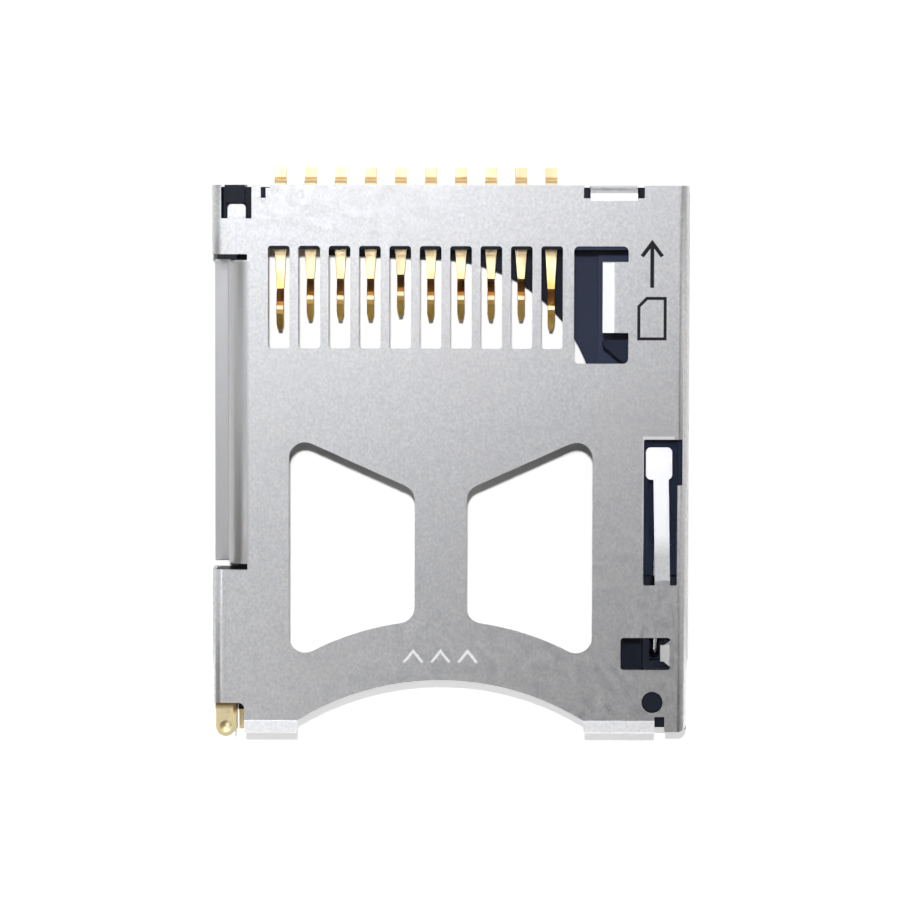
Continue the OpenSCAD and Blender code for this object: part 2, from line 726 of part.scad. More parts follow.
// Recess in the rear face for the cover's rear tab
module rear_tab_recess() {
    x0 = rear_tab_x - 0.1;
    x1 = rear_tab_x + rear_tab_w + 0.1;
    box(x0, x1, rear_y - sheet_t - fit, rear_y + over, top_z - rear_tab_h - 0.2, top_z + over);
    box(x0, x1, rear_y - tab_bend_r - 0.15, rear_y + over, roof_z - tab_bend_r + 0.08, top_z + over);
}

// Slots for the two strips of the card switch
module switch_slots() {
    gap = fit / 2;
    box(switch_arm_x - switch_t / 2 - gap, switch_arm_x + switch_t / 2 + gap, switch_y - over,
        bump_y - bump_half, switch_z0 - gap, top_z);
    box(switch_post_x + switch_t / 2 + gap, card_left + over, bump_y - bump_half - 0.1,
        bump_y + bump_half + 0.3, switch_z0 - gap, top_z);
    slab(-over, switch_t + gap) terminal_base(gap);
    box(switch_post_x - switch_t / 2 - gap, switch_post_x + switch_t / 2 + gap + 0.01,
        post_y0 - gap, post_y1 + gap, -over, top_z);
}

// Middle of contact i, from 0
function contact_x(i) = card_x - contact_offset + (i - (contact_count - 1) / 2) * contact_pitch;
contact_run_z = plate_t + 0.1 + contact_t / 2;

// Lengths along a contact: from the block to the foot of the steep slope and to its top, the rounded
// top's two halves, the turned-down tip, and the slope with its bends between block and tail
slope_foot = 1.5;
slope_top = 2.5;
round_rear = 0.35;
round_front = 0.45;
tip_len = 1.05;
tip_drop = 0.5;
tail_slope = 0.52;
tail_bend = 0.1;

// One contact: solder tail, run through the rear block, rising beam and rounded contact point
module contact(i) color("goldenrod") {
    x = contact_x(i);
    extra = i == 0 || i == contact_count - 1 ? contact_extra : i == 4 ? -contact_less : 0;
    rise = contact_high - contact_run_z - contact_t / 2;
    root_y = block_front - slope_foot - extra;
    apex_y = block_front - slope_top - extra;
    tip = apex_y - tip_len;
    flat_y = block_rear + tail_slope;
    z1 = contact_run_z + 0.2 * rise;
    z2 = contact_run_z + rise;
    drop = contact_run_z - contact_t / 2;
    intersection() {
        along_x(x - contact_w / 2, x + contact_w / 2) strip(concat(
            [[rear_y + tail_out, contact_t / 2], [flat_y, contact_t / 2]],
            [[flat_y - tail_bend, contact_t / 2 + 0.04], [block_rear + 2.6 * tail_bend, drop],
            [block_rear + 1.8 * tail_bend, contact_run_z - 0.02], [block_rear + tail_bend, contact_run_z]],
            [[block_front - 3 * tail_bend, contact_run_z], [root_y, z1]],
            [[apex_y + round_rear, z2 - 0.12], [apex_y + round_rear / 2, z2 - 0.03], [apex_y, z2],
            [apex_y - 0.45 * round_front, z2 - 0.04], [apex_y - round_front, z2 - 0.16]],
            [[tip, z2 - tip_drop]]), contact_t);
        slab(-over, top_z + over) polygon([[x - contact_w / 2, rear_y + 2],
            [x - contact_w / 2, block_front], [x - contact_tip_w / 2, root_y],
            [x - contact_tip_w / 2, tip + 0.35], [x - contact_tip_w / 5, tip - 0.08],
            [x + contact_tip_w / 5, tip - 0.08], [x + contact_tip_w / 2, tip + 0.35],
            [x + contact_tip_w / 2, root_y], [x + contact_w / 2, block_front],
            [x + contact_w / 2, rear_y + 2]]);
    }
}

// A lane of the heart cam between two points, cut down to a floor height
module lane(a, b, floor_z) {
    d = b - a;
    slab(floor_z, top_z) {
        for (p = [a, b])
            translate(p) circle(lane_w / 2);
        translate(a) rotate(atan2(d[1], d[0])) translate([0, -lane_w / 2])
            square([norm(d), lane_w]);
    }
}

// The heart cam: way in, lock notch, way out and way back round a heart-shaped island
module heart_cam() {
    home = [tip_x, tip_y];
    pushed = [tip_x + pin_swing, tip_y - travel];
    locked = [(tip_x + pin_swing + lane_left_x) / 2 - 0.03, tip_y - lock_travel];
    released = [lane_left_x + 0.08, tip_y - travel];
    back_low = [lane_left_x, tip_y - travel + 0.4];
    back_high = [lane_left_x, tip_y - 1.2];
    floor_z = pin_tip_z - pin_gap;
    lane(home, pushed, floor_z);
    lane(pushed, locked, floor_z - 0.05);
    lane(locked, released, floor_z - 0.1);
    lane(released, back_low, floor_z - 0.1);
    lane(back_low, back_high, floor_z - 0.15);
    lane(back_high, home, floor_z - 0.1);
}

// The foot in front of the card's bevelled corner
module slider_foot() {
    x0 = slider_x0 - slider_foot_reach;
    slab(slider_z0, foot_top) polygon([[x0 + 0.15, foot_rear], [x0, foot_rear - 0.12],
        [x0, foot_rear - 0.3], [x0 + 0.6, foot_rear - 0.8], [slider_x0 - 0.35, foot_rear - 1.75],
        [slider_x0 + 0.1, foot_rear - 2], [slider_x0 + 0.1, foot_rear]]);
}

// The slider: arm with spring pocket and heart cam, keel below, foot at the card's corner
module slider() color("#262b36") difference() {
    union() {
        box(slider_x0, slider_x1, slider_front, foot_rear, slider_z0, slider_z1);
        slider_foot();
        box(slider_mid - keel_w / 2, slider_mid + keel_w / 2, slider_front + keel_inset,
            foot_rear - keel_inset, ledge_t - keel_h, slider_z0 + 0.1);
    }
    box(slider_x0 + cam_wall, slider_x1 - cam_wall, slider_front - over, deck_rear, deck_z, top_z);
    box(slider_x0 - over, slider_x1 + over, slider_front - over, deck_rear,
        pin_z + pin_d / 2 - 0.05, top_z);
    heart_cam();
    box(slider_mid - spring_slot / 2, slider_mid + spring_slot / 2, spring_seat, foot_rear + over,
        spring_z - spring_slot / 2, top_z);
    translate([slider_x1, slider_front, 0]) rotate(45)
        box(-0.2, 0.2, -0.2, 0.2, 0, top_z);
}

// The cam pin: wire with both ends turned down, one in the pivot bore and one in the cam
module cam_pin() color("silver") {
    turn = -asin((tip_x - pivot_x) / pin_len);
    translate([pivot_x, pivot_y, 0]) rotate(turn) {
        pin_leg(ledge_t + pin_gap);
        translate([0, pin_len, 0]) mirror([0, 1, 0]) pin_leg(pin_tip_z);
        translate([0, pin_bend_r, pin_z]) rotate([-90, 0, 0])
            cylinder(d = pin_d, h = pin_len - 2 * pin_bend_r);
    }
}

// A turned-down end of the cam pin and its quarter bend
module pin_leg(z_low) {
    translate([0, 0, z_low]) cylinder(d = pin_d, h = pin_z - pin_bend_r - z_low);
    translate([0, pin_bend_r, pin_z - pin_bend_r]) rotate([90, 0, -90])
        rotate_extrude(angle = 90) translate([pin_bend_r, 0]) circle(d = pin_d);
}

// The return spring's turns along its length: close at both ends, open between
spring_r = (spring_d - spring_wire) / 2;
spring_len = spring_rear - spring_seat;
ring_steps = 16;
ring_sides = 6;
function spring_rise(u) =
    let (n = spring_turns, close = spring_wire * 1.05,
        open = (spring_len - spring_wire - 2 * close) / (n - 2))
    u < 1 ? close * u : u > n - 1 ? close + open * (n - 2) + close * (u - n + 1) : close + open * (u - 1);
function spring_point(k, j) =
    let (u = k / ring_steps, a = 360 * u, b = 360 * j / ring_sides,
        r = spring_r + spring_wire / 2 * cos(b))
    [slider_mid + r * cos(a), spring_seat + spring_wire / 2 + spring_rise(u) + spring_wire / 2 * sin(b),
        spring_z + r * sin(a)];

// The return spring, pressed between the slider's pocket and the rear block
module return_spring() color("gainsboro") {
    rings = spring_turns * ring_steps;
    n = ring_sides;
    points = [for (k = [0:rings], j = [0:n - 1]) spring_point(k, j)];
    sides = [for (k = [0:rings - 1], j = [0:n - 1]) let (a = k * n + j, b = k * n + (j + 1) % n)
        each [[a, b, a + n], [b, b + n, a + n]]];
    cap_0 = [for (j = [n - 1:-1:0]) j];
    cap_1 = [for (j = [0:n - 1]) rings * n + j];
    polyhedron(points, concat(sides, [cap_0, cap_1]));
}

// The switch spring: round solder tab in front, upright strip, and a bump in the card's way
module switch_spring() color("goldenrod") {
    pad_x = switch_arm_x - switch_t / 2 - switch_pad_r + 0.02;
    pad_y = front_y - hook_out + switch_pad_r;
    dish_ball = (dish_r * dish_r + dish_d * dish_d) / (2 * dish_d);
    difference() {
        slab(0, switch_t) {
            translate([pad_x, pad_y]) circle(switch_pad_r);
            rect(pad_x - switch_pad_r, pad_x + switch_pad_r, pad_y, switch_y - 0.02);
        }
        translate([pad_x, pad_y, switch_t + dish_ball - dish_d]) sphere(dish_ball);
    }
    box(switch_arm_x - switch_t / 2, switch_arm_x + switch_t / 2, pad_y, switch_y - 0.02,
        0, switch_z1);
    slab(switch_z0, switch_z1) strip([[switch_arm_x, switch_y - 0.1],
        [switch_arm_x, bump_y - bump_half], [card_left + bump_in - switch_t / 2, bump_y - 0.12],
        [card_left + bump_in - switch_t / 2, bump_y + 0.12],
        [switch_arm_x - 0.1, bump_y + bump_half]], switch_t);
}

// The terminal's base strip under the ledge, seen from above
module terminal_base(gap) {
    foot_y = front_y - terminal_out;
    rect(switch_in + 0.07 - gap, switch_in + 0.45 + gap, foot_y, post_y1 + gap);
    rect(switch_post_x - switch_t / 2 - gap, switch_in + 0.45, post_y0 - gap, post_y1 + gap);
}

// The switch terminal: solder foot, base strip under the ledge, and an upright contact post
module switch_terminal() color("goldenrod") {
    slab(0, switch_t) terminal_base(0);
    box(switch_post_x - switch_t / 2, switch_post_x + switch_t / 2, post_y0, post_y1,
        0, switch_z1 - 0.1);
}

cover();
housing();
for (i = [0:contact_count - 1])
    contact(i);
slider();
return_spring();
cam_pin();
switch_spring();
switch_terminal();
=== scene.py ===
import math

import bpy
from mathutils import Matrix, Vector


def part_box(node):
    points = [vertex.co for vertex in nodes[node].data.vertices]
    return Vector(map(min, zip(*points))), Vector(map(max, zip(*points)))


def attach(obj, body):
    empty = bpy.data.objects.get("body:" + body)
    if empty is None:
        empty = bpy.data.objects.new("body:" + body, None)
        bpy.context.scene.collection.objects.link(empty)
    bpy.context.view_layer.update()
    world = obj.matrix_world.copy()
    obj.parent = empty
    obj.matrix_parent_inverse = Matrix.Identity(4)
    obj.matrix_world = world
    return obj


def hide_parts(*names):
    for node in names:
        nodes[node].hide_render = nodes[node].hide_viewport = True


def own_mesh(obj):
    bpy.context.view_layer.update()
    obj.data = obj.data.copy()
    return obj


MM = 0.001
MICRON = 1e-6

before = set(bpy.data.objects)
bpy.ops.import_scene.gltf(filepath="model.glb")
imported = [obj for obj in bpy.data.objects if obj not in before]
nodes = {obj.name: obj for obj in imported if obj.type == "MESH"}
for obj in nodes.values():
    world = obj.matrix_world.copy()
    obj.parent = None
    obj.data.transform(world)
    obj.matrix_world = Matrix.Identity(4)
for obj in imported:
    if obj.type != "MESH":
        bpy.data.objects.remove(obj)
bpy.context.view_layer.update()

# Most places are distances from the sides of the cover. TOP_MM is the height of its flat top.
TOP_MM = 2.7
cover_low, cover_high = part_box("cover")
left_mm, right_mm = cover_low.x / MM, cover_high.x / MM
front_mm, rear_mm = cover_low.y / MM, cover_high.y / MM


# Materials. Their patterns follow the object's own coordinates, with sizes in millimetres.

EVEN = (1, 1, 1)

# The sockets of a Mix node that hold its two colours and their mixture
FIRST_COLOUR, SECOND_COLOUR, MIXED_COLOUR = 6, 7, 2


def blank_material(name):
    mat = bpy.data.materials.new(name)
    mat.use_nodes = True
    tree = mat.node_tree
    tree.nodes.clear()
    out = tree.nodes.new("ShaderNodeOutputMaterial")
    coord = tree.nodes.new("ShaderNodeTexCoord")
    return mat, tree, out, coord


def new_material(name):
    mat, tree, out, coord = blank_material(name)
    shader = tree.nodes.new("ShaderNodeBsdfPrincipled")
    tree.links.new(shader.outputs["BSDF"], out.inputs["Surface"])
    return mat, tree, shader, coord


def noise(tree, coord, size_mm, stretch, detail, rough):
    """A noise of this size, drawn out along the axes whose stretch is over 1."""
    mapping = tree.nodes.new("ShaderNodeMapping")
    tree.links.new(coord.outputs["Object"], mapping.inputs["Vector"])
    mapping.inputs["Scale"].default_value = [1 / (size_mm * MM * s) for s in stretch]
    node = tree.nodes.new("ShaderNodeTexNoise")
    node.inputs["Scale"].default_value = 1
    node.inputs["Detail"].default_value = detail
    node.inputs["Roughness"].default_value = rough
    tree.links.new(mapping.outputs["Vector"], node.inputs["Vector"])
    return node.outputs["Fac"]


def ramp(tree, value, stops):
    node = tree.nodes.new("ShaderNodeValToRGB")
    tree.links.new(value, node.inputs["Fac"])
    elements = node.color_ramp.elements
    elements[0].position, elements[0].color = stops[0][0], (*stops[0][1], 1)
    elements[1].position, elements[1].color = stops[-1][0], (*stops[-1][1], 1)
    for place, colour in stops[1:-1]:
        elements.new(place).color = (*colour, 1)
    return node.outputs["Color"]


def two_tone(tree, value, low, high):
    return ramp(tree, value, [(0.3, low), (0.7, high)])


def spread(tree, value, low, high, start=0.3, end=0.7):
    """A value whose range from start to end is laid over the range from low to high."""
    node = tree.nodes.new("ShaderNodeMapRange")
    tree.links.new(value, node.inputs["Value"])
    node.inputs["From Min"].default_value = start
    node.inputs["From Max"].default_value = end
    node.inputs["To Min"].default_value = low
    node.inputs["To Max"].default_value = high
    return node.outputs["Result"]


def tint(tree, base, other, share):
    node = tree.nodes.new("ShaderNodeMix")
    node.data_type = "RGBA"
    tree.links.new(share, node.inputs["Factor"])
    tree.links.new(base, node.inputs[FIRST_COLOUR])
    node.inputs[SECOND_COLOUR].default_value = (*other, 1)
    return node.outputs[MIXED_COLOUR]


def bumps(tree, shader, layers):
    """Layers of relief, each given as (pattern, depth in microns, strength)."""
    last = None
    for value, depth, strength in layers:
        node = tree.nodes.new("ShaderNodeBump")
        node.inputs["Strength"].default_value = strength
        node.inputs["Distance"].default_value = depth * MICRON
        tree.links.new(value, node.inputs["Height"])
        if last is not None:
            tree.links.new(last, node.inputs["Normal"])
        last = node.outputs["Normal"]
    tree.links.new(last, shader.inputs["Normal"])


def combined(tree, operation, one, two):
    node = tree.nodes.new("ShaderNodeMath")
    node.operation = operation
    tree.links.new(one, node.inputs[0])
    tree.links.new(two, node.inputs[1])
    return node.outputs[0]


def patch(tree, coord, sides_mm, share):
    """A share inside a place, whose sides are (axis, where it is nothing, where it is full)."""
    parts = tree.nodes.new("ShaderNodeSeparateXYZ")
    tree.links.new(coord.outputs["Object"], parts.inputs["Vector"])
    last = None
    for axis, none_mm, full_mm in sides_mm:
        if none_mm < full_mm:
            side = spread(tree, parts.outputs[axis], 0, share, none_mm * MM, full_mm * MM)
        else:
            side = spread(tree, parts.outputs[axis], share, 0, full_mm * MM, none_mm * MM)
        last = side if last is None else combined(tree, "MINIMUM", last, side)
    return last


def band(axis, low_mm, high_mm, low_fade_mm, high_fade_mm=None):
    """Two sides of a patch: full from low to high along the axis, fading out beyond them."""
    if high_fade_mm is None:
        high_fade_mm = low_fade_mm
    return [(axis, low_mm - low_fade_mm, low_mm), (axis, high_mm + high_fade_mm, high_mm)]


# The card guide, drawn deep into the cover's left side, darkened with painted shade where its bend
# turns from the light: its width, how far its front and rear are from the rear side, and its fades at
# the sheet and at the ends
GUIDE_WIDTH_MM, GUIDE_FRONT_MM, GUIDE_REAR_MM = 1.72, 18.75, 3.8
GUIDE_SIDE_FADE_MM, GUIDE_END_FADE_MM = 0.15, 0.05

# Painted highlights where bends and bright pieces catch the light: the leaf spring, the pin's tab, the
# edge of the tongue and the bend of the rear tab. Each gives the distances of its left and right sides
# from the cover's right side, those of its front and rear from the rear side, and its fade at the
# front.
PAINTED_HIGHLIGHTS_MM = [
    (2.25, 0.7, 18.4, 12.4, 1.1),
    (1.58, 0.9, 23.82, 22.76, 0.02),
    (4.29, 3.74, 7.45, 3.84, 0.02),
    (4.9, 2.58, 0.78, 0.38, 0.05),
]
HIGHLIGHT_FADE_MM = 0.02

STEEL_DARK, STEEL_MIDDLE, STEEL_LIGHT = (0.53, 0.53, 0.53), (0.63, 0.63, 0.63), (0.73, 0.73, 0.73)
FLECK_TONE, BLOTCH_TONE = (0.5, 0.53, 0.58), (0.6, 0.585, 0.575)
GUIDE_SHADE_TONE, HIGHLIGHT_TONE = (0.43, 0.43, 0.43), (0.96, 0.96, 0.965)


def cover_steel():
    mat, tree, shader, coord = new_material("cover_steel_look")
    grain = noise(tree, coord, size_mm=0.13, stretch=(1, 1.3, 1), detail=4, rough=0.7)
    flecks = noise(tree, coord, size_mm=0.45, stretch=(1, 1.2, 1), detail=4, rough=0.6)
    rolled = noise(tree, coord, size_mm=0.1, stretch=(1, 12, 1), detail=3, rough=0.5)
    blotches = noise(tree, coord, size_mm=4.5, stretch=(1, 1.3, 1), detail=2, rough=0.5)
    base = ramp(tree, grain, [(0.3, STEEL_DARK), (0.5, STEEL_MIDDLE), (0.7, STEEL_LIGHT)])
    base = tint(tree, base, FLECK_TONE, spread(tree, flecks, 0, 0.4, 0.45, 0.72))
    base = tint(tree, base, BLOTCH_TONE, spread(tree, blotches, 0, 0.3, 0.45, 0.72))
    guide_side = left_mm + GUIDE_WIDTH_MM
    # Painted shade over the guide's strip.
    guide_shade = patch(tree, coord, [
        ("X", guide_side + GUIDE_SIDE_FADE_MM, guide_side),
        *band("Y", rear_mm - GUIDE_FRONT_MM, rear_mm - GUIDE_REAR_MM, GUIDE_END_FADE_MM),
    ], share=0.85)
    base = tint(tree, base, GUIDE_SHADE_TONE, guide_shade)
    # Near-white painted highlights on the bends and bright pieces.
    for left, right, front, rear, fade in PAINTED_HIGHLIGHTS_MM:
        place = patch(tree, coord, [
            *band("X", right_mm - left, right_mm - right, HIGHLIGHT_FADE_MM),
            *band("Y", rear_mm - front + fade, rear_mm - rear, fade, HIGHLIGHT_FADE_MM),
        ], share=0.93)
        base = tint(tree, base, HIGHLIGHT_TONE, place)
    tree.links.new(base, shader.inputs["Base Color"])
    shader.inputs["Metallic"].default_value = 1
    tree.links.new(spread(tree, flecks, 0.4, 0.31), shader.inputs["Roughness"])
    bumps(tree, shader, [(grain, 5, 0.5), (rolled, 2, 0.35)])
    return mat


# The housing's deck under the rear right window, painted a lighter, bluer black as painted light
# falling through the window: how far its left and right sides are from the cover's right side, how far
# its front and rear are from the rear side, and its lowest height
DECK_LEFT_MM, DECK_RIGHT_MM = 5.9, 2.7
DECK_FRONT_MM, DECK_REAR_MM = 9.1, 2.9
DECK_LOW_MM = 0.4
DECK_FADE_MM = 0.1


def moulded(name, low, high, rough_low, rough_high, grain_mm, deck_light=None):
    """A moulded plastic, with painted light on its deck if it has one."""
    mat, tree, shader, coord = new_material(name)
    grain = noise(tree, coord, size_mm=grain_mm, stretch=EVEN, detail=3, rough=0.5)
    flow = noise(tree, coord, size_mm=1.6, stretch=(1, 2.2, 1), detail=3, rough=0.5)
    base = two_tone(tree, flow, low, high)
    if deck_light:
        # Painted light: the deck is painted lighter where the window lets light onto it.
        place = patch(tree, coord, [
            *band("X", right_mm - DECK_LEFT_MM, right_mm - DECK_RIGHT_MM, DECK_FADE_MM),
            *band("Y", rear_mm - DECK_FRONT_MM, rear_mm - DECK_REAR_MM, DECK_FADE_MM),
            ("Z", DECK_LOW_MM - DECK_FADE_MM, DECK_LOW_MM),
        ], share=0.9)
        base = tint(tree, base, deck_light, place)
    tree.links.new(base, shader.inputs["Base Color"])
    tree.links.new(spread(tree, grain, rough_low, rough_high), shader.inputs["Roughness"])
    shader.inputs["Specular IOR Level"].default_value = 0.22
    bumps(tree, shader, [(grain, 3, 0.5), (flow, 6, 0.4)])
    return mat


# The arms and tails get a pale painted sheen, as the light their flat tops mirror, up to the first of
# these distances from the cover's rear side, and it fades out at the second.
ARM_SHEEN_FULL_MM, ARM_SHEEN_END_MM = 4.1, 5.1

# The slope behind a crest, and the painted highlight line across the crest, in front of where the slope
# starts
SLOPE_REAR_MM, SLOPE_FRONT_MM, SLOPE_REAR_FADE_MM = 0.12, 0.74, 0.14
CREST_REAR_MM, CREST_FRONT_MM, CREST_FADE_MM = 0.84, 1, 0.06
CREST_HIGHLIGHT_TONE = (0.86, 0.63, 0.45)


def plated_gold(name, low, high, arm_sheen, slope_shade, slope_mm, slope_fade_mm=0.08):
    """Gold plating, with painted shade on a slope that starts slope_mm in front of the cover's rear
    side.
    """
    mat, tree, shader, coord = new_material(name)
    wear = noise(tree, coord, size_mm=0.35, stretch=(1, 2.5, 1), detail=3, rough=0.5)
    drawn = noise(tree, coord, size_mm=0.03, stretch=(1, 20, 1), detail=2, rough=0.5)
    base = two_tone(tree, wear, low, high)
    start = rear_mm - slope_mm
    if arm_sheen:
        # Painted sheen: the arms and tails are painted paler than the tips, as the light they mirror.
        arm_sheen_sides = [("Y", rear_mm - ARM_SHEEN_END_MM, rear_mm - ARM_SHEEN_FULL_MM)]
        base = tint(tree, base, arm_sheen, patch(tree, coord, arm_sheen_sides, share=0.85))
    # Painted shade: dark brown on the slope, where it mirrors darker surroundings, or by the cover's
    # edge as its shadow.
    slope_front, slope_rear = start - SLOPE_FRONT_MM, start - SLOPE_REAR_MM
    slope_sides = band("Y", slope_front, slope_rear, slope_fade_mm, SLOPE_REAR_FADE_MM)
    base = tint(tree, base, slope_shade, patch(tree, coord, slope_sides, share=0.87))
    if arm_sheen:
        # A pale painted highlight runs across the crest, where it faces straight up.
        crest_highlight_sides = band("Y", start - CREST_FRONT_MM, start - CREST_REAR_MM, CREST_FADE_MM)
        base = tint(tree, base, CREST_HIGHLIGHT_TONE, patch(tree, coord, crest_highlight_sides, share=0.9))
    tree.links.new(base, shader.inputs["Base Color"])
    shader.inputs["Metallic"].default_value = 1
    tree.links.new(spread(tree, wear, 0.38, 0.27), shader.inputs["Roughness"])
    bumps(tree, shader, [(drawn, 0.8, 0.4)])
    return mat


def bare_steel(name, low, high, rough_low, rough_high, stretch):
    mat, tree, shader, coord = new_material(name)
    drawn = noise(tree, coord, size_mm=0.06, stretch=stretch, detail=3, rough=0.55)
    stain = noise(tree, coord, size_mm=0.9, stretch=EVEN, detail=3, rough=0.5)
    tree.links.new(two_tone(tree, stain, low, high), shader.inputs["Base Color"])
    shader.inputs["Metallic"].default_value = 1
    tree.links.new(spread(tree, drawn, rough_low, rough_high), shader.inputs["Roughness"])
    bumps(tree, shader, [(drawn, 1, 0.4)])
    return mat


def ink(name, low, high):
    mat, tree, shader, coord = new_material(name)
    grain = noise(tree, coord, size_mm=0.12, stretch=EVEN, detail=3, rough=0.6)
    tree.links.new(two_tone(tree, grain, low, high), shader.inputs["Base Color"])
    tree.links.new(spread(tree, grain, 0.5, 0.7), shader.inputs["Roughness"])
    shader.inputs["Specular IOR Level"].default_value = 0.25
    bumps(tree, shader, [(grain, 3, 0.5)])
    return mat


HOUSING_TONES = [(0.004, 0.005, 0.009), (0.008, 0.01, 0.018)]
SLIDER_TONES = [(0.006, 0.009, 0.02), (0.012, 0.017, 0.035)]
DECK_LIGHT_TONE = (0.027, 0.034, 0.064)
SPRING_TONES = [(0.42, 0.42, 0.43), (0.56, 0.56, 0.57)]
PIN_TONES = [(0.6, 0.6, 0.62), (0.74, 0.74, 0.76)]
BLACK_TONES = [(0.003, 0.003, 0.004), (0.012, 0.012, 0.014)]
ETCHED_TONES = [(0.62, 0.62, 0.63), (0.74, 0.74, 0.75)]

# The two tones of a plating, the pale painted sheen of its arms where it has them, and its painted
# shade. Contacts get the painted shade on the slope before the crest, and the switch pieces get it as
# the cover's shadow where they go under the cover.
GOLD_TONES = [(0.9, 0.53, 0.12), (0.98, 0.68, 0.2), (0.9, 0.735, 0.48), (0.55, 0.2, 0.05)]
SWITCH_TONES = [(0.9, 0.74, 0.4), (0.97, 0.85, 0.54), None, (0.13, 0.065, 0.018)]

steel = cover_steel()
housing_black = moulded(
    "housing_black_look", *HOUSING_TONES, rough_low=0.34, rough_high=0.5, grain_mm=0.16, deck_light=DECK_LIGHT_TONE,
)
slider_black = moulded(
    "slider_black_look", *SLIDER_TONES, rough_low=0.28, rough_high=0.42, grain_mm=0.22,
)
gold = plated_gold("gold_look", *GOLD_TONES, slope_mm=4.7)
gold_long = plated_gold("gold_long_look", *GOLD_TONES, slope_mm=5.2)
gold_short = plated_gold("gold_short_look", *GOLD_TONES, slope_mm=4.5)
# The switch pieces get painted shadow where they come out from under the cover's front edge.
switch_gold = plated_gold("switch_gold_look", *SWITCH_TONES, slope_mm=25.35, slope_fade_mm=0.25)
spring_look = bare_steel(
    "spring_steel_look", *SPRING_TONES, rough_low=0.22, rough_high=0.36, stretch=EVEN,
)
pin_look = bare_steel(
    "pin_steel_look", *PIN_TONES, rough_low=0.16, rough_high=0.3, stretch=(1, 12, 1),
)
black_ink = ink("black_ink_look", *BLACK_TONES)
etched = ink("etched_look", *ETCHED_TONES)


# The CAD pieces: rounded edges and finishes.

# Points closer than this are one, and faces that meet at a smaller angle than this are flat.
WELD_M = 1e-7
FLAT_DEG = 0.5


def dressed(name, mat, edge_mm, segments=2, edge_deg=28):
    """Gives a piece its finish, and rounds the edges that are sharper than edge_deg."""
    obj = nodes[name]
    obj.data.materials.clear()
    obj.data.materials.append(mat)
    weld = obj.modifiers.new("weld", "WELD")
    weld.merge_threshold = WELD_M
    flat = obj.modifiers.new("flat", "DECIMATE")
    flat.decimate_type = "DISSOLVE"
    flat.angle_limit = math.radians(FLAT_DEG)
    edge = obj.modifiers.new("edge", "BEVEL")
    edge.width = edge_mm * MM
    edge.segments = segments
    edge.limit_method = "ANGLE"
    edge.angle_limit = math.radians(edge_deg)
    edge.harden_normals = True


dressed("cover", steel, 0.04, segments=3)
dressed("housing", housing_black, 0.03)
dressed("slider", slider_black, 0.03)

# The first and last contacts reach further than the rest, and the fifth less far.
own_gold = {"contact_01": gold_long, "contact_10": gold_long, "contact_05": gold_short}
for name in nodes:
    if name.startswith("contact_"):
        dressed(name, own_gold.get(name, gold), 0.02)

dressed("switch_spring", switch_gold, 0.02)
dressed("switch_terminal", switch_gold, 0.02)
dressed("cam_pin", pin_look, 0.02, edge_deg=40)


# Pieces of the scene's own.


def mesh_object(name, points, faces, mat, smooth=False):
    mesh = bpy.data.meshes.new(name)
    mesh.from_pydata([[v * MM for v in p] for p in points], [], faces)
    mesh.validate()
    mesh.update()
    if smooth:
        mesh.shade_smooth()
    obj = bpy.data.objects.new(name, mesh)
    bpy.context.scene.collection.objects.link(obj)
    mesh.materials.append(mat)
    return obj


def coil(node, wire, turns, closed, sides=10, steps=28):
    """A compression spring with closed ends, in the box of its CAD node."""
    low, high = (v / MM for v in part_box(node))
    middle = (low + high) / 2
    radius = (high.x - low.x) / 2 - wire / 2
    start, end = low.y + wire / 2, high.y - wire / 2
    pitch = (end - start - 2 * closed * wire) / (turns - 2 * closed)
    points, faces = [], []
    count = round(turns * steps)
    for i in range(count + 1):
        turn = i / steps
        along = start + min(turn, closed) * wire
        along += max(0, min(turn, turns - closed) - closed) * pitch
        along += max(0, turn - (turns - closed)) * wire
        angle = 2 * math.pi * turn
        out = Vector((math.cos(angle), 0, math.sin(angle)))
        centre = Vector((middle.x, along, middle.z)) + out * radius
        for k in range(sides):
            around = 2 * math.pi * k / sides
            towards = out * math.cos(around) + Vector((0, 1, 0)) * math.sin(around)
            points.append(centre + towards * wire / 2)
        if i:
            before, here = (i - 1) * sides, i * sides
            for k in range(sides):
                after = (k + 1) % sides
                faces.append((before + k, here + k, here + after, before + after))
    faces.append(list(range(sides))[::-1])
    faces.append([count * sides + k for k in range(sides)])
    return points, faces


WIRE_MM, TURNS, CLOSED_TURNS = 0.15, 16, 1.25

# The coil is drawn at its rest length and stays with the socket. The first joint is slider_slide,
# whose travel shortens the real spring.
points, faces = coil("return_spring", WIRE_MM, TURNS, CLOSED_TURNS)
spring = mesh_object("spring_wire", points, faces, spring_look, True)
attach(spring, "socket")
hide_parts("return_spring")
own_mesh(spring)

# Marks on the cover, a few thousandths of a millimetre thick.
PRINT_MM = 0.006


def chevron(x, top, half, rise, width, shaft=0, bottom=0):
    """The outline of a chevron that points to the rear, with a shaft below it if shaft isn't 0."""
    slant = math.hypot(half, rise)
    out_x, out_y = rise / slant * width / 2, half / slant * width / 2
    tip = width / 2 * slant / half
    low = top - rise
    corners = [(x - half - out_x, low + out_y), (x - half + out_x, low - out_y)]
    if shaft:
        side = shaft / 2
        joint = top - tip - side * rise / half
        corners += [(x - side, joint), (x - side, bottom), (x + side, bottom), (x + side, joint)]
    else:
        corners.append((x, top - tip))
    return corners + [(x + half - out_x, low - out_y), (x + half + out_x, low + out_y), (x, top + tip)]


